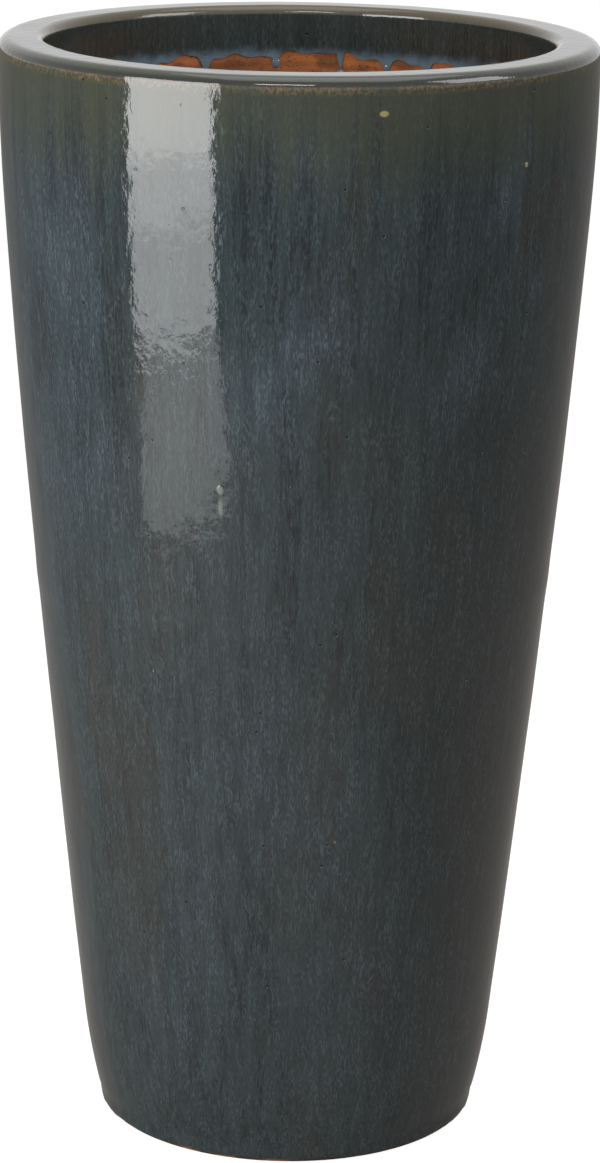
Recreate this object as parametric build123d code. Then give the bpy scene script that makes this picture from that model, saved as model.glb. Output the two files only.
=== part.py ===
"""Tall round glazed planter with a wide flat rim.

Clay members are luted together on bevelled seams, one above the other, and fired to one ceramic.
A glaze coat is fused on, outside from just above the foot to over the rim, and inside as a band
in the throat that has run down over the bare clay.

The planter stands on the ground at z = 0 with its axis on Z. Radii are those of the clay.
"""

import os
from math import radians, sin, tan

from build123d import *

# Sizes in millimetres
height = 914.0  # ground to the glazed flat rim
wall = 15.0  # clay wall below the heavy rim

# Foot ring
foot_height = 14.0
foot_width = 32.0  # how far the ring reaches in under the floor
foot_round = 2.5  # wiped edges of the ring's resting face

# Floor section
floor = 22.0
floor_section_height = 90.0  # ground to its seam with the wall
floor_section_taper = 17.1  # how far the outline draws in from that seam to the ground
cove_radius = 24.0  # inside corner between floor and wall
drain_radius = 19.0
drain_round = 2.5

# Wall sections
lower_wall_top = 470.0
lower_wall_taper = 38.9  # how far the outline draws in from seam to seam
upper_wall_taper = 25.0

# Rim collar
collar_height = 144.0  # its seam to the flat rim
collar_taper = 4.6
rim_radius = 242.1
rim_thickness = 34.7  # clay between the rim's side and the mouth
rim_outer_round = 12.0
rim_inner_round = 6.0

# Seams
seam_bevel = 35.0  # degrees that a luting bevel climbs towards the inside

# Glaze
glaze = 1.2
glaze_foot_line = 3.0  # the foot is wiped bare below this height
run_line = 37.0  # depth below the clay's rim where the throat's coat ends
run_count = 26
run_shortest = 7.0  # how far the runs reach below that line
run_longest = 17.0
run_wander = 3.0  # degrees that a run may stand off its even place
run_length_phase = 2.4  # radians of sine between one run's length and the next
run_place_phase = 5.0  # the same for its place
run_neck = 5.6
run_bead_radius = 4.0
run_thickness = 2.2  # more than the coat's, where the glaze has gathered
run_clearance = 12.0  # straight throat left below the longest run

clay_height = height - glaze
rim_side = clay_height - rim_outer_round  # where the outline stands upright
floor_top = foot_height + floor
upper_wall_top = height - collar_height
upper_wall_radius = rim_radius - collar_taper
lower_wall_radius = upper_wall_radius - upper_wall_taper
floor_section_radius = lower_wall_radius - lower_wall_taper
foot_radius = floor_section_radius - floor_section_taper
mouth_radius = rim_radius - rim_thickness
flat_inner_radius = mouth_radius + rim_inner_round
throat_depth = run_line + run_longest + run_bead_radius + run_clearance
beyond = rim_radius + wall  # a radius outside everything
above = height + wall  # a level over everything
same_level = 0.01  # an edge this close to a level lies on it
template = [
    (rim_radius, rim_side),
    (upper_wall_radius, upper_wall_top),
    (lower_wall_radius, lower_wall_top),
    (floor_section_radius, floor_section_height),
    (foot_radius, 0.0),
]


def block(inner_radius, low, outer_radius, high):
    """A rectangle of the half section between two radii and two levels."""
    middle = Pos((inner_radius + outer_radius) / 2, (low + high) / 2)
    return middle * Rectangle(outer_radius - inner_radius, high - low)


def template_arcs(offset):
    """The outline from the rim's side to the ground, moved out by an offset.

    It is a chain of arcs, each leaving along the end of the one above.
    """
    points = [(radius + offset, level) for radius, level in template]
    arcs = []
    heading = (0, -1)
    for start, end in zip(points, points[1:]):
        arc = TangentArc(start, end, tangent=heading)
        heading = arc % 1
        arcs.append(arc)
    return arcs


def rim_edge(radius, round_radius, coat, turn):
    """Quarter round down from the flat rim, concentric when a coat is added."""
    centre = (radius, clay_height - round_radius)
    return CenterArc(centre, round_radius + coat, 90, turn)


def filled_to_axis(line, coat):
    """Face between the pot's axis and a line that runs from the rim's top to the ground."""
    core = Polyline(line[0] @ 0, (0, clay_height + coat), (0, 0), line[-1] @ 1)
    return make_face([*line, *core.edges()])


def envelope(coat=0.0):
    """Half section inside the outside surface, bare or grown by a coat of glaze."""
    edge = rim_edge(rim_radius - rim_outer_round, rim_outer_round, coat, -90)
    return filled_to_axis([edge, *template_arcs(coat)], coat)


def cavity(coat=0.0):
    """Half section of the hollow from the ground to the mouth, less a coat of glaze."""
    wall_arcs = template_arcs(-wall - coat)[1:]
    edge = rim_edge(flat_inner_radius, rim_inner_round, coat, 90)
    throat_foot = (mouth_radius - coat, clay_height - throat_depth)
    throat = Line(edge @ 1, throat_foot)
    shoulder = Spline(throat_foot, wall_arcs[0] @ 0, tangents=[(0, -1), wall_arcs[0] % 0])
    return filled_to_axis([edge, throat, shoulder, *wall_arcs], coat)


def clay_profile():
    """Half section of the whole pot, before its members are cut from it."""
    ring = block(foot_radius - foot_width, 0, beyond, foot_height)
    base = block(drain_radius, foot_height, beyond, floor_top)
    return envelope() & (envelope() - cavity() + ring + base)


def level_seam(level):
    """Level joint, also used for the ground and for a line over the rim."""
    return [(0, level), (beyond, level)]


def bevelled_seam(radius, level):
    """Luting bevel that starts on the outside of the wall and climbs inwards."""
    slope = tan(radians(seam_bevel))
    return [(0, level + radius * slope), (beyond, level - (beyond - radius) * slope)]


def turned(profile):
    """Revolve a half section about the pot's axis."""
    return revolve(Plane.XZ * profile, Axis.Z)


def member(clay, low, high):
    """Clay between two seams."""
    region = make_face(Polyline(*low, *reversed(high), close=True))
    return turned(clay & region)


def rings_at(solid, level):
    """Circular edges of a turned solid at one level, from the inside out."""
    circles = solid.edges().filter_by(GeomType.CIRCLE)
    rings = [circle for circle in circles if abs(circle.arc_center.Z - level) < same_level]
    return sorted(rings, key=lambda ring: ring.radius)


def foot_ring(clay, high):
    """Bare ring that the pot stands on, with both edges of its resting face wiped round."""
    ring = member(clay, level_seam(0), high)
    return fillet(rings_at(ring, 0), foot_round)


def floor_section(clay, low, high):
    """Floor with a drain hole, coved into the start of the wall."""
    base = member(clay, low, high)
    base = fillet(rings_at(base, floor_top)[-1], cove_radius)
    drain_edges = [rings_at(base, foot_height)[0], rings_at(base, floor_top)[0]]
    return fillet(drain_edges, drain_round)


def outer_glaze():
    """Outside coat, from its line above the foot to the inner edge of the flat rim."""
    side = block(0, glaze_foot_line, beyond, rim_side)
    rim = block(flat_inner_radius, rim_side, beyond, above)
    return turned((envelope(glaze) - envelope()) & (side + rim))


def uneven(number, phase):
    """A value from -1 to 1 that jumps about from one run to the next."""
    return sin(number * phase)


def glaze_run(number):
    """Outline of one run, a neck ending in a round bead, pressed through the throat's wall."""
    middle = (run_longest + run_shortest) / 2
    length = middle + (run_longest - middle) * uneven(number, run_length_phase)
    angle = number * 360 / run_count + run_wander * uneven(number, run_place_phase)
    bead = Pos(0, -length) * Circle(run_bead_radius)
    neck = block(-run_neck / 2, -length, run_neck / 2, run_bead_radius)
    outline = Pos(0, clay_height - run_line) * (neck + bead)
    start = Plane.YZ.offset(mouth_radius - wall / 2)
    return Rot(Z=angle) * extrude(start * outline, wall)


def throat_glaze():
    """Inside coat of the throat, with the runs gathered along its lower line."""
    line = clay_height - run_line
    coat = (envelope(glaze) - cavity(glaze)) - (envelope() - cavity())
    band = turned(coat & block(0, line, flat_inner_radius, above))
    gathered = block(mouth_radius - run_thickness, clay_height - throat_depth,
                     mouth_radius, line + run_bead_radius)
    runs = Part() + [glaze_run(number) for number in range(run_count)]
    return band + (turned(gathered) & runs)


clay = clay_profile()
foot_seam = level_seam(foot_height)
floor_seam = bevelled_seam(floor_section_radius, floor_section_height)
wall_seam = bevelled_seam(lower_wall_radius, lower_wall_top)
collar_seam = bevelled_seam(upper_wall_radius, upper_wall_top)

nodes = {
    "foot_ring": foot_ring(clay, foot_seam),
    "floor_section": floor_section(clay, foot_seam, floor_seam),
    "lower_wall": member(clay, floor_seam, wall_seam),
    "upper_wall": member(clay, wall_seam, collar_seam),
    "rim_collar": member(clay, collar_seam, level_seam(above)),
    "outer_glaze": outer_glaze(),
    "throat_glaze": throat_glaze(),
}

os.makedirs("parts", exist_ok=True)
for name, node in nodes.items():
    export_step(node, f"parts/{name}.step")
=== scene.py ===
from math import atan2, cos, exp, hypot, radians, sin, tau

import bpy
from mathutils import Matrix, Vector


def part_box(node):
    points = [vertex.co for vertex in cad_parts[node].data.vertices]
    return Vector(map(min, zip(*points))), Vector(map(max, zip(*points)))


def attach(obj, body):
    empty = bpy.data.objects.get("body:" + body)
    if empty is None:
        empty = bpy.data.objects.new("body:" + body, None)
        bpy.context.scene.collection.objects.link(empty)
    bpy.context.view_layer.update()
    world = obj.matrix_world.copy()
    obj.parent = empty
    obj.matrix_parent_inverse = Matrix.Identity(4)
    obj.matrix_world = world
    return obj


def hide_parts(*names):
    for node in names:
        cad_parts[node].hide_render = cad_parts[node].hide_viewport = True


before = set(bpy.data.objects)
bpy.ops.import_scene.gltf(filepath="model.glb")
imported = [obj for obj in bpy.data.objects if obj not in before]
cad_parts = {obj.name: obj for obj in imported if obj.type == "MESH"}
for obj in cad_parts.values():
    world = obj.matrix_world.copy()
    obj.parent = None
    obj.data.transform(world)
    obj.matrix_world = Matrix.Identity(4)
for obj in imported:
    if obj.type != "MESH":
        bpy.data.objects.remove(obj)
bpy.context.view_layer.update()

# The camera stands a little above the planter's rim and looks down on it from in front.
# It was turned a touch about its own axis when the photograph was taken.
camera_distance = 3.208
camera_height = 1.321
camera_down = radians(15.07)
camera_roll = radians(0.787)

bpy.ops.object.camera_add(location=(0, -camera_distance, camera_height))
camera = bpy.context.object
camera.rotation_euler = (radians(90) - camera_down, 0, 0)
camera.rotation_euler.rotate_axis("Z", camera_roll)
camera.data.lens = 122.6
camera.data.shift_x = 0.0065
bpy.context.scene.camera = camera


# A large softbox to the left of the camera draws the bright upright strip on the glaze. It dims
# towards its foot, so it is three panels, and a reflector on the floor before it draws the strip's
# faint lower end. A wide softbox hangs overhead and a small one stands to the right. A thin lamp
# above the camera glints on the rim's two rounded edges.
def softbox(name, place, turn, width, length, watts):
    bpy.ops.object.light_add(type="AREA", location=place, rotation=turn)
    box = bpy.context.object
    box.name = name
    box.data.shape = "RECTANGLE"
    box.data.size = width
    box.data.size_y = length
    box.data.energy = watts
    box.visible_camera = False


side_turn = radians(-48)

for name, level, length, watts in (("key_softbox", 1.04, 1.16, 42),
                                   ("key_softbox_waist", 0.355, 0.21, 5.6),
                                   ("key_softbox_foot", 0.135, 0.23, 4.6)):
    softbox(name, (-1.526, -1.428, level), (radians(90), 0, side_turn), 1.26, length, watts)
softbox("floor_reflector", (-1.241, -1.252, 0.01), (radians(180), 0, side_turn), 1.08, 0.66, 3.0)
softbox("top_softbox", (0.2, -0.2, 2.9), (0, 0, 0), 2.0, 2.0, 20)
softbox("right_softbox", (1.75, -0.65, 1.75), (radians(65), 0, radians(70)), 1.0, 1.0, 18)
softbox("thin_lamp", (-0.21, -2.0, 1.95), (radians(60), 0, 0), 0.75, 0.11, 7.5)


# The studio is a white room. It looks white to the camera and in the glaze, and the share of
# its light that reaches the planter is a soft, even fill.
fill_strength = 0.25


def seen_directly(tree, mirrored):
    """1 on camera rays and mirrored on glossy and transmission rays, which show the background."""
    path = tree.nodes.new("ShaderNodeLightPath")
    found = path.outputs["Is Camera Ray"]
    for other in ("Is Glossy Ray", "Is Transmission Ray"):
        share = tree.nodes.new("ShaderNodeMath")
        share.operation = "MULTIPLY"
        share.inputs[1].default_value = mirrored
        tree.links.new(path.outputs[other], share.inputs[0])
        either = tree.nodes.new("ShaderNodeMath")
        either.operation = "MAXIMUM"
        tree.links.new(found, either.inputs[0])
        tree.links.new(share.outputs[0], either.inputs[1])
        found = either.outputs[0]
    return found


room = bpy.data.worlds.new("white_room")
bpy.context.scene.world = room
room.use_nodes = True
tree = room.node_tree
tree.nodes.clear()
fill = tree.nodes.new("ShaderNodeBackground")
fill.inputs["Color"].default_value = (1, 1, 1, 1)
fill.inputs["Strength"].default_value = fill_strength
white = tree.nodes.new("ShaderNodeBackground")
white.inputs["Color"].default_value = (1, 1, 1, 1)
white.inputs["Strength"].default_value = 1.0
either = tree.nodes.new("ShaderNodeMixShader")
output = tree.nodes.new("ShaderNodeOutputWorld")
tree.links.new(seen_directly(tree, 1), either.inputs["Fac"])
tree.links.new(fill.outputs[0], either.inputs[1])
tree.links.new(white.outputs[0], either.inputs[2])
tree.links.new(either.outputs[0], output.inputs["Surface"])

# The floor is one wide sheet of cream paper in dim light. It is lifted to white where the camera
# sees it and hardly at all in the glaze, and the planter's shadow still falls on it.
paper_cream = (0.33, 0.30, 0.27, 1)
paper_lift = 0.89
paper_mirrored = 0.05

bpy.ops.mesh.primitive_circle_add(vertices=96, radius=14, fill_type="NGON", location=(0, 0, -0.0005))
floor = bpy.context.object
floor.name = "floor"
paper = bpy.data.materials.new("white_paper")
paper.use_nodes = True
tree = paper.node_tree
sheet = tree.nodes["Principled BSDF"]
sheet.inputs["Base Color"].default_value = paper_cream
sheet.inputs["Roughness"].default_value = 0.9
sheet.inputs["Emission Color"].default_value = (1, 1, 1, 1)
lift = tree.nodes.new("ShaderNodeMath")
lift.operation = "MULTIPLY"
lift.inputs[1].default_value = paper_lift
tree.links.new(seen_directly(tree, paper_mirrored), lift.inputs[0])
tree.links.new(lift.outputs[0], sheet.inputs["Emission Strength"])
floor.data.materials.append(paper)


# The body is red clay: a foot ring, a floor with a drain hole, two wall sections and a heavy
# rim collar, thrown and luted together. Bare inside, it shows the throwing rings and stains.
clay_red = (0.42, 0.135, 0.036, 1)
clay_dark = (0.13, 0.050, 0.020, 1)
clay_dark_low = (0.020, 0.014, 0.011, 1)
ring_pitch = 0.009


def stretched_noise(tree, stretch, scale, detail):
    """Noise on the piece's own coordinates, drawn out along an axis where stretch is small."""
    place = tree.nodes.new("ShaderNodeTexCoord")
    drawn = tree.nodes.new("ShaderNodeMapping")
    drawn.inputs["Scale"].default_value = stretch
    noise = tree.nodes.new("ShaderNodeTexNoise")
    noise.inputs["Scale"].default_value = scale
    noise.inputs["Detail"].default_value = detail
    tree.links.new(place.outputs["Object"], drawn.inputs["Vector"])
    tree.links.new(drawn.outputs["Vector"], noise.inputs["Vector"])
    return noise.outputs["Fac"]


def part_of(tree, value, low, high):
    """0 at low and 1 at high, smooth between."""
    part = tree.nodes.new("ShaderNodeMapRange")
    part.interpolation_type = "SMOOTHSTEP"
    part.inputs["From Min"].default_value = low
    part.inputs["From Max"].default_value = high
    if low > high:
        part.inputs["From Min"].default_value = high
        part.inputs["From Max"].default_value = low
        part.inputs["To Min"].default_value = 1
        part.inputs["To Max"].default_value = 0
    tree.links.new(value, part.inputs["Value"])
    return part.outputs["Result"]


def worked(tree, operation, first, second):
    """One sum. Either side may be a number or another node's value."""
    step = tree.nodes.new("ShaderNodeMath")
    step.operation = operation
    for socket, value in zip(step.inputs, (first, second)):
        if isinstance(value, (int, float)):
            socket.default_value = value
        else:
            tree.links.new(value, socket)
    return step.outputs[0]


def times(tree, first, second):
    """First multiplied by second."""
    return worked(tree, "MULTIPLY", first, second)


def plus(tree, first, second):
    """First and second added."""
    return worked(tree, "ADD", first, second)


def tinted(tree, under, over, share):
    """Colour over laid on colour under by a share."""
    mix = tree.nodes.new("ShaderNodeMix")
    mix.data_type = "RGBA"
    for socket, value in (("A_Color", under), ("B_Color", over), ("Factor_Float", share)):
        target = next(s for s in mix.inputs if s.identifier == socket)
        if isinstance(value, (tuple, float)):
            target.default_value = value
        else:
            tree.links.new(value, target)
    return next(s for s in mix.outputs if s.identifier == "Result_Color")


def along(tree, axis):
    """How far along an axis, so Z is the height above the ground."""
    place = tree.nodes.new("ShaderNodeTexCoord")
    split = tree.nodes.new("ShaderNodeSeparateXYZ")
    tree.links.new(place.outputs["Object"], split.inputs[0])
    return split.outputs[axis]


def near(tree, centre, stretch, reach, edge):
    """1 at a place and 0 beyond reach, soft over the last part, edge, of the way."""
    place = tree.nodes.new("ShaderNodeTexCoord")
    moved = tree.nodes.new("ShaderNodeVectorMath")
    moved.operation = "SUBTRACT"
    moved.inputs[1].default_value = centre
    drawn = tree.nodes.new("ShaderNodeVectorMath")
    drawn.operation = "MULTIPLY"
    drawn.inputs[1].default_value = stretch
    far = tree.nodes.new("ShaderNodeVectorMath")
    far.operation = "LENGTH"
    tree.links.new(place.outputs["Object"], moved.inputs[0])
    tree.links.new(moved.outputs[0], drawn.inputs[0])
    tree.links.new(drawn.outputs[0], far.inputs[0])
    return part_of(tree, far.outputs["Value"], reach, reach * (1 - edge))


def raised(tree, height, depth, shader):
    """Surface relief from a height, depth metres deep."""
    bump = tree.nodes.new("ShaderNodeBump")
    bump.inputs["Distance"].default_value = depth
    tree.links.new(height, bump.inputs["Height"])
    tree.links.new(bump.outputs["Normal"], shader.inputs["Normal"])


clay = bpy.data.materials.new("fired_clay")
clay.use_nodes = True
tree = clay.node_tree
shader = tree.nodes["Principled BSDF"]
shader.inputs["Roughness"].default_value = 0.88
stain = part_of(tree, stretched_noise(tree, (1, 1, 0.6), 16, 5), 0.42, 0.66)
mottle = times(tree, part_of(tree, stretched_noise(tree, (1, 1, 1.6), 30, 5), 0.46, 0.60),
               part_of(tree, along(tree, "Z"), 0.835, 0.865))
grit = part_of(tree, stretched_noise(tree, (1, 1, 1), 520, 3), 0.55, 0.75)
colour = tinted(tree, clay_red, clay_dark, times(tree, stain, 0.45))
colour = tinted(tree, colour, clay_dark, times(tree, mottle, 0.75))
colour = tinted(tree, colour, clay_dark, times(tree, grit, 0.5))
# The bare clay is darker in patches over its lowest centimetre, towards the ground.
darker_towards_ground = times(tree, part_of(tree, along(tree, "Z"), 0.010, 0.004),
              part_of(tree, stretched_noise(tree, (1, 1, 1), 42, 2), 0.62, 0.52))
colour = tinted(tree, colour, clay_dark_low, times(tree, darker_towards_ground, 0.9))
tree.links.new(colour, shader.inputs["Base Color"])
wavering = times(tree, stretched_noise(tree, (1, 1, 0.3), 9, 2), 0.02)
rings = worked(tree, "SINE", times(tree, plus(tree, along(tree, "Z"), wavering), tau / ring_pitch), 0)
relief = plus(tree, times(tree, rings, 0.35), grit)
raised(tree, relief, 0.0006, shader)
for name in ("foot_ring", "floor_section", "lower_wall", "upper_wall", "rim_collar"):
    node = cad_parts[name]
    node.data.materials.clear()
    node.data.materials.append(clay)

# The outside carries a glossy reactive glaze, fused on in the kiln from just above the foot to
# over the flat rim. It gathers in a rolled line at the foot and breaks to rust on the rim's edge.
coat = 0.0012
rim_round = 0.012
edge_round = 0.0075
flat_inner_radius = 0.2134
foot_radius = 0.1565
glaze_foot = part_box("outer_glaze")[0].z
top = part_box("outer_glaze")[1].z
outline_pitch = 0.005
steps_round = 360
seam_swell = 0.00035
swell_reach = 0.012
roll = 0.0011
foot_band = 0.02


def arc_points(start, heading, end, pitch):
    """Points along the arc that leaves start along heading and runs to end, and its last heading."""
    across = (end[0] - start[0], end[1] - start[1])
    turn = 2 * atan2(heading[0] * across[1] - heading[1] * across[0],
                     heading[0] * across[0] + heading[1] * across[1])
    first_angle = atan2(heading[1], heading[0])
    count = max(2, round(hypot(*across) / pitch))
    points = []
    for number in range(1, count + 1):
        turned = turn * number / count
        chord = hypot(*across) * sin(turned / 2) / sin(turn / 2)
        angle = first_angle + turned / 2
        points.append((start[0] + chord * cos(angle), start[1] + chord * sin(angle)))
    return points, (cos(first_angle + turn), sin(first_angle + turn))


def side_outline(offset, pitch):
    """The planter's side from the rim down to the ground, through the members' seams."""
    seams = [(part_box("rim_collar")[1].x, top - coat - rim_round)]
    for member, below in (("upper_wall", "rim_collar"), ("lower_wall", "upper_wall"),
                          ("floor_section", "lower_wall")):
        seams.append((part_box(member)[1].x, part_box(below)[0].z))
    seams.append((foot_radius, 0.0))
    seams = [(radius + offset, height) for radius, height in seams]
    points = [seams[0]]
    heading = (0, -1)
    for start, end in zip(seams, seams[1:]):
        arc, heading = arc_points(start, heading, end, pitch)
        points.extend(arc)
    return points


def quarter(centre, radius, first, last, count):
    """Points round part of a circle, angles in degrees from outwards."""
    angles = [radians(first + (last - first) * number / count) for number in range(count + 1)]
    return [(centre[0] + radius * cos(angle), centre[1] + radius * sin(angle)) for angle in angles]


def thrown(name, outline, steps):
    """A closed half outline drawn point by point, then spun about the planter's axis."""
    bpy.ops.object.select_all(action="DESELECT")
    bpy.ops.mesh.primitive_plane_add(size=0.01, location=(outline[0][0], 0, outline[0][1]))
    piece = bpy.context.object
    piece.name = name
    bpy.ops.object.transform_apply()
    bpy.ops.object.mode_set(mode="EDIT")
    bpy.ops.mesh.select_all(action="SELECT")
    bpy.ops.mesh.merge(type="CENTER")
    for here, there in zip(outline, outline[1:] + outline[:1]):
        reach = (there[0] - here[0], 0, there[1] - here[1])
        bpy.ops.mesh.extrude_region_move(TRANSFORM_OT_translate={"value": reach})
    bpy.ops.mesh.select_all(action="SELECT")
    bpy.ops.mesh.remove_doubles(threshold=0.000002)
    bpy.ops.mesh.select_all(action="SELECT")
    bpy.ops.mesh.spin(steps=steps, angle=tau, center=(0, 0, 0), axis=(0, 0, 1))
    bpy.ops.mesh.select_all(action="SELECT")
    bpy.ops.mesh.remove_doubles(threshold=0.000005)
    bpy.ops.mesh.normals_make_consistent(inside=False)
    bpy.ops.object.mode_set(mode="OBJECT")
    bpy.ops.object.shade_smooth_by_angle(angle=radians(50))
    return piece


def uneven(piece, name, size, depth, direction="NORMAL", group=""):
    """Slight hand-made unevenness, pushed into the mesh by soft clouds of one size."""
    clouds = bpy.data.textures.new(name, "CLOUDS")
    clouds.noise_scale = size
    push = piece.modifiers.new(name, "DISPLACE")
    push.texture = clouds
    push.texture_coords = "LOCAL"
    push.strength = depth
    push.direction = direction
    push.vertex_group = group
    bpy.context.view_layer.objects.active = piece
    bpy.ops.object.modifier_apply(modifier=name)


outside = []
for radius, height in side_outline(coat, outline_pitch):
    if height > glaze_foot + 0.012:
        swell = seam_swell * exp(-((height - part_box("upper_wall")[0].z) / swell_reach) ** 2)
        outside.append((radius + swell, height))
outside.reverse()
foot_edge = side_outline(0, outline_pitch)[-1][0] + 0.0006
rolled = [(foot_edge, glaze_foot), (foot_edge + coat + 0.6 * roll, glaze_foot - 0.0002),
          (foot_edge + coat + roll + 0.0004, glaze_foot + 0.003),
          (foot_edge + coat + roll + 0.0008, glaze_foot + 0.006),
          (foot_edge + coat + 0.5 * roll + 0.0014, glaze_foot + 0.009)]
rim_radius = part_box("rim_collar")[1].x
shoulder = quarter((rim_radius - edge_round, top - coat - edge_round), edge_round + coat, 0, 90, 8)
flat = [(rim_radius - edge_round + (flat_inner_radius - rim_radius + edge_round) * part / 5, top)
        for part in range(1, 6)]
under_flat = [(flat_inner_radius, top - coat), (rim_radius - rim_round, top - coat)]
under_shoulder = quarter((rim_radius - rim_round, top - coat - rim_round), rim_round, 75, 0, 4)
under_side = [point for point in side_outline(0, 0.04)[1:] if point[1] > glaze_foot + 0.01]
outline = rolled + outside + shoulder + flat + under_flat + under_shoulder + under_side
outer_coat = thrown("outer_glaze_coat", outline, steps_round)
uneven(outer_coat, "hand_thrown", 0.14, 0.0009)
lower_edge = outer_coat.vertex_groups.new(name="foot_line")
for vertex in outer_coat.data.vertices:
    share = 1 - (vertex.co.z - glaze_foot) / foot_band
    if share > 0:
        lower_edge.add([vertex.index], share, "REPLACE")
uneven(outer_coat, "wavering_line", 0.03, 0.004, "Z", "foot_line")

# One glaze batch covers both coats, so its streaks, flecks and pinholes are one shader group.
glaze_dark = (0.0112, 0.0150, 0.0165, 1)
glaze_teal = (0.0275, 0.0410, 0.0440, 1)
glaze_blue = (0.049, 0.068, 0.088, 1)
glaze_fleck = (0.100, 0.135, 0.160, 1)
glaze_olive = (0.046, 0.050, 0.032, 1)
glaze_brown = (0.030, 0.024, 0.018, 1)
glaze_rust = (0.20, 0.115, 0.045, 1)
glaze_black = (0.003, 0.003, 0.003, 1)
chip_white = (0.30, 0.34, 0.29, 1)
yellow_blemish_and_glint = (0.26, 0.22, 0.09, 1)
speck_orange = (0.22, 0.08, 0.02, 1)

batch = bpy.data.node_groups.new("reactive_glaze", "ShaderNodeTree")
batch.interface.new_socket("Colour", in_out="OUTPUT", socket_type="NodeSocketColor")
batch.interface.new_socket("Height", in_out="OUTPUT", socket_type="NodeSocketFloat")
batch.interface.new_socket("Roughness", in_out="OUTPUT", socket_type="NodeSocketFloat")
height = along(batch, "Z")

# The pooled base runs from near black to teal in upright streaks, with brown places.
broad_streaks = part_of(batch, stretched_noise(batch, (1, 1, 0.03), 85, 4), 0.34, 0.68)
fine_streaks = part_of(batch, stretched_noise(batch, (1, 1, 0.04), 470, 3), 0.36, 0.64)
colour = tinted(batch, glaze_dark, glaze_teal, times(batch, broad_streaks, 0.62))
colour = tinted(batch, colour, glaze_teal, times(batch, fine_streaks, 0.62))
browned = part_of(batch, stretched_noise(batch, (1, 1, 0.35), 12, 3), 0.50, 0.68)
colour = tinted(batch, colour, glaze_brown, times(batch, browned, 0.38))

# Milky blue hangs in the upper half, most of it in one patch on the front, and less of it round to the
# left.
# A paler haze to the right under the rim is partly milky glaze and partly a painted reflection
# lightening the upper right.
milky = part_of(batch, stretched_noise(batch, (1, 1, 0.6), 8, 6), 0.44, 0.66)
upper_band = times(batch, part_of(batch, height, 0.50, 0.66), part_of(batch, height, 0.84, 0.75))
patch = near(batch, (-0.03, -0.23, 0.73), (1, 1, 0.62), 0.13, 0.9)
blue_share = plus(batch, times(batch, upper_band, 0.30), times(batch, patch, 0.45))
towards_front = part_of(batch, along(batch, "X"), -0.24, -0.11)
blue_share = times(batch, blue_share, plus(batch, times(batch, towards_front, 0.6), 0.4))
milky_haze_and_painted_sheen = near(batch, (0.15, -0.19, 0.83), (1, 1, 0.8), 0.17, 0.9)
blue_share = plus(batch, blue_share, times(batch, milky_haze_and_painted_sheen, 0.8))
blue_share = times(batch, plus(batch, blue_share, 0.14), milky)
colour = tinted(batch, colour, glaze_blue, blue_share)

# Lower down and round to the right the glaze is painted darker: painted shade, where less light falls
# on that side.
painted_shade_right = times(batch, part_of(batch, along(batch, "X"), 0.02, 0.20), 0.9)
painted_shade_right = times(batch, painted_shade_right, part_of(batch, height, 0.84, 0.52))
colour = tinted(batch, colour, glaze_dark, painted_shade_right)

# Pale crystals stand in short upright dashes, like hare's fur.
grain = part_of(batch, stretched_noise(batch, (1, 1, 0.22), 900, 2), 0.44, 0.62)
fur = part_of(batch, stretched_noise(batch, (1, 1, 0.06), 260, 3), 0.40, 0.64)
crystals = times(batch, grain, plus(batch, times(batch, fur, 0.7), 0.3))
crystal_share = times(batch, crystals, plus(batch, times(batch, blue_share, 0.75), 0.26))
colour = tinted(batch, colour, glaze_fleck, crystal_share)

# Towards the rim the coat thins to olive, and on the rim's outer edge it breaks to rust.
radial = batch.nodes.new("ShaderNodeVectorMath")
radial.operation = "MULTIPLY"
radial.inputs[1].default_value = (1, 1, 0)
place = batch.nodes.new("ShaderNodeTexCoord")
batch.links.new(place.outputs["Object"], radial.inputs[0])
out_from_axis = batch.nodes.new("ShaderNodeVectorMath")
out_from_axis.operation = "LENGTH"
batch.links.new(radial.outputs[0], out_from_axis.inputs[0])
outside_share = part_of(batch, out_from_axis.outputs["Value"], 0.222, 0.232)
olive_edge = plus(batch, height, times(batch, broad_streaks, 0.035))
olive_share = times(batch, part_of(batch, olive_edge, 0.82, 0.93),
                    plus(batch, times(batch, outside_share, 0.45), 0.3))
colour = tinted(batch, colour, glaze_olive, olive_share)
thin_line = times(batch, part_of(batch, height, 0.8985, 0.9035), part_of(batch, height, 0.9088, 0.9060))
broken = part_of(batch, stretched_noise(batch, (1, 1, 0.8), 430, 3), 0.42, 0.62)
patchy = part_of(batch, stretched_noise(batch, (1, 1, 1), 14, 2), 0.26, 0.60)
rust_share = times(batch, times(batch, thin_line, outside_share), times(batch, broken, patchy))
colour = tinted(batch, colour, glaze_rust, times(batch, rust_share, 0.5))
dark_edge = times(batch, part_of(batch, height, 0.9055, 0.9075), part_of(batch, height, 0.9120, 0.9095))
colour = tinted(batch, colour, glaze_black, times(batch, times(batch, dark_edge, outside_share), 0.7))

# Gas left pinholes, and a few single blemishes show: a chip with its run, a yellow spot, a speck and a
# pit.
# A pale point on a crumb of glaze is a painted glint.
cells = batch.nodes.new("ShaderNodeTexVoronoi")
cells.inputs["Scale"].default_value = 62
batch.links.new(place.outputs["Object"], cells.inputs["Vector"])
pinholes = times(batch, part_of(batch, cells.outputs["Distance"], 0.085, 0.055),
                 part_of(batch, stretched_noise(batch, (1, 1, 1), 23, 2), 0.50, 0.56))
colour = tinted(batch, colour, glaze_black, pinholes)
chip = near(batch, (-0.057, -0.217, 0.588), (1, 1, 0.7), 0.0036, 0.5)
chip_run = near(batch, (-0.057, -0.216, 0.574), (1, 1, 0.22), 0.0030, 0.9)
yellow_spot = near(batch, (0.064, -0.234, 0.886), (0.6, 1, 1), 0.0030, 0.5)
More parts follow.
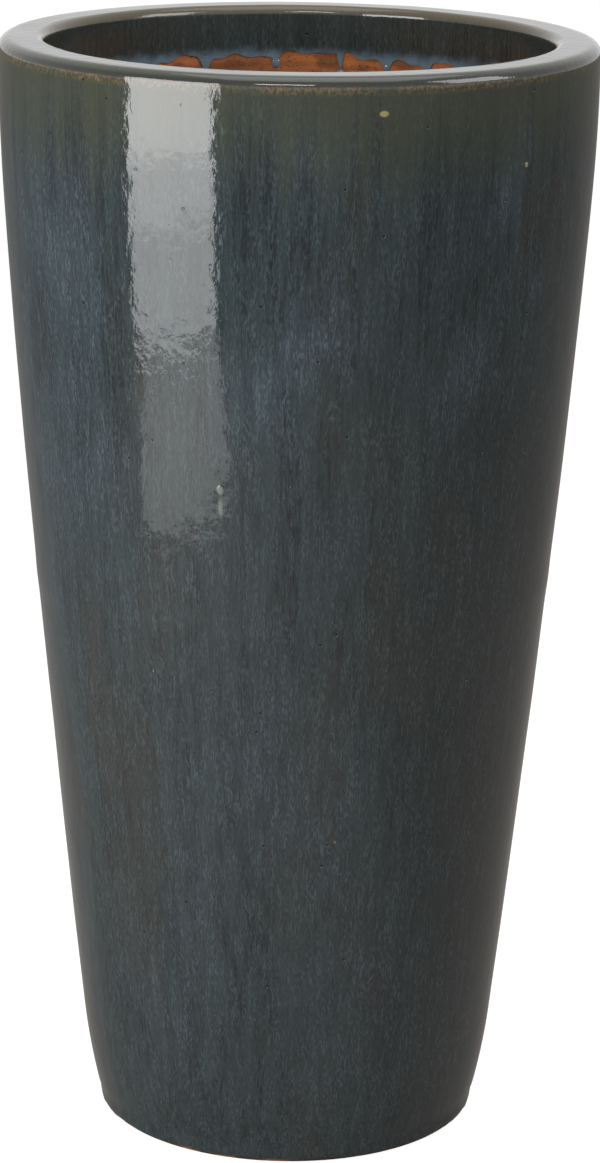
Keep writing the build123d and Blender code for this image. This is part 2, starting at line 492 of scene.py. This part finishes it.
# The glint is a painted highlight, tinted pale yellow, on a small raised crumb.
glint = near(batch, (0.177, -0.166, 0.838), (1, 1, 1), 0.0024, 0.4)
speck = near(batch, (0.037, -0.194, 0.293), (1, 1, 1), 0.0020, 0.4)
pit = near(batch, (-0.048, -0.160, 0.077), (1, 1, 1), 0.0026, 0.4)
for over, share in ((chip_white, times(batch, chip_run, 0.3)),
                    (chip_white, times(batch, chip, 0.35)), (yellow_blemish_and_glint, yellow_spot),
                    (yellow_blemish_and_glint, glint), (speck_orange, speck), (glaze_black, pit)):
    colour = tinted(batch, colour, over, share)

# The surface rolls gently, pinholes and the pit sink, and the chip and spots stand up as crumbs.
swells = stretched_noise(batch, (1, 1, 0.7), 105, 3)
peel = times(batch, stretched_noise(batch, (1, 1, 0.6), 460, 2), 0.09)
sunk = times(batch, plus(batch, pinholes, plus(batch, pit, speck)), 1.6)
crumbs = times(batch, plus(batch, chip, plus(batch, yellow_spot, glint)), 1.2)
relief = worked(batch, "SUBTRACT", plus(batch, plus(batch, swells, peel), crumbs), sunk)
gloss = plus(batch, times(batch, crystal_share, 0.2), 0.06)
result = batch.nodes.new("NodeGroupOutput")
batch.links.new(colour, result.inputs["Colour"])
batch.links.new(relief, result.inputs["Height"])
batch.links.new(gloss, result.inputs["Roughness"])


def glazed(name):
    """A glaze material that starts from the batch, with its tree, shader and batch node."""
    material = bpy.data.materials.new(name)
    material.use_nodes = True
    tree = material.node_tree
    shader = tree.nodes["Principled BSDF"]
    mixed = tree.nodes.new("ShaderNodeGroup")
    mixed.node_tree = batch
    tree.links.new(mixed.outputs["Roughness"], shader.inputs["Roughness"])
    raised(tree, mixed.outputs["Height"], 0.00026, shader)
    return material, tree, shader, mixed


outer_glaze, tree, shader, mixed = glazed("outer_glaze")
tree.links.new(mixed.outputs["Colour"], shader.inputs["Base Color"])
outer_coat.data.materials.append(outer_glaze)
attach(outer_coat, "root")
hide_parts("outer_glaze")

# The throat is coated only as far as the dipped glaze reached. Its lower line has run down the
# bare clay and stopped in round beads, pale blue where it is thick.
inner_round = 0.006
mouth_radius = flat_inner_radius - inner_round
band_depth = 0.043
line = top - coat - band_depth
run_wandering = 0.0030
run_count = 26
shortest_run = 0.007
longest_run = 0.017
run_wander = radians(3)
run_length_phase = 2.4
run_place_phase = 5.0
run_half_width = 0.0024
bead_radius = 0.0042
bead_squash = (0.36, 0.85, 1.1)
bead_rise = 0.0025
throat_steps_round = 720

edge_centre = (flat_inner_radius, top - coat - inner_round)
over = quarter(edge_centre, inner_round + coat, 90, 180, 8)
band_levels = [line + (edge_centre[1] - line) * part / 16 for part in range(15, -1, -1)]
front = [(mouth_radius - coat, height) for height in band_levels]
back = [(mouth_radius + 0.0002, height) for height in reversed(band_levels)]
under = quarter(edge_centre, inner_round, 180, 90, 4)
throat_coat = thrown("throat_glaze_coat", over + front + back + under, throat_steps_round)
runs = []
for number in range(run_count):
    length = ((longest_run + shortest_run) / 2
              + (longest_run - shortest_run) / 2 * sin(number * run_length_phase))
    runs.append((tau * number / run_count + run_wander * sin(number * run_place_phase), length))
for vertex in throat_coat.data.vertices:
    share = max(0, min(1, (edge_centre[1] - vertex.co.z) / (edge_centre[1] - line)))
    around = atan2(vertex.co.y, vertex.co.x)
    drop = run_wandering * (sin(around * 3) + 0.6 * sin(around * 11 + 1) + 0.5 * sin(around * 29 + 2)
                            + 0.4 * sin(around * 53 + 1))
    for number, (angle, length) in enumerate(runs):
        off = ((around - angle + tau / 2) % tau - tau / 2) * mouth_radius
        wide = run_half_width * (1.35 + 0.7 * sin(number * 1.7))
        drop += length * exp(-(off / wide) ** 2)
    vertex.co.z -= drop * share ** 3
uneven(throat_coat, "throat_waver", 0.05, 0.0006)

bpy.ops.mesh.primitive_uv_sphere_add(segments=20, ring_count=12, radius=bead_radius)
bead = bpy.context.object
bead.name = "run_bead"
bpy.ops.object.shade_smooth()
beads = [bead]
for angle, length in runs[1:]:
    copy = bead.copy()
    copy.data = bead.data.copy()
    bpy.context.collection.objects.link(copy)
    beads.append(copy)
for copy, (angle, length) in zip(beads, runs):
    bottom = line - length + bead_rise
    copy.scale = bead_squash
    copy.rotation_euler = (0, 0, angle)
    copy.location = (mouth_radius * cos(angle), mouth_radius * sin(angle), bottom)
bpy.ops.object.select_all(action="DESELECT")
for copy in beads:
    copy.select_set(True)
bpy.context.view_layer.objects.active = bead
bpy.ops.object.transform_apply(location=True, rotation=True, scale=True)
throat_coat.select_set(True)
bpy.context.view_layer.objects.active = throat_coat
bpy.ops.object.join()

throat_glaze, tree, shader, mixed = glazed("throat_glaze")
pooled = (0.165, 0.245, 0.315, 1)
edge_brown = (0.12, 0.085, 0.035, 1)
height = along(tree, "Z")
wander = times(tree, stretched_noise(tree, (1, 1, 1), 70, 3), 0.014)
pool_share = times(tree, part_of(tree, plus(tree, height, wander), line + 0.018, line + 0.005), 0.7)
brown_share = times(tree, part_of(tree, height, top - 0.009, top - 0.003), 0.6)
colour = tinted(tree, mixed.outputs["Colour"], edge_brown, brown_share)
colour = tinted(tree, colour, pooled, pool_share)
tree.links.new(colour, shader.inputs["Base Color"])
throat_coat.data.materials.clear()
throat_coat.data.materials.append(throat_glaze)
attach(throat_coat, "root")
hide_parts("throat_glaze")

bpy.context.scene.view_settings.view_transform = "Standard"
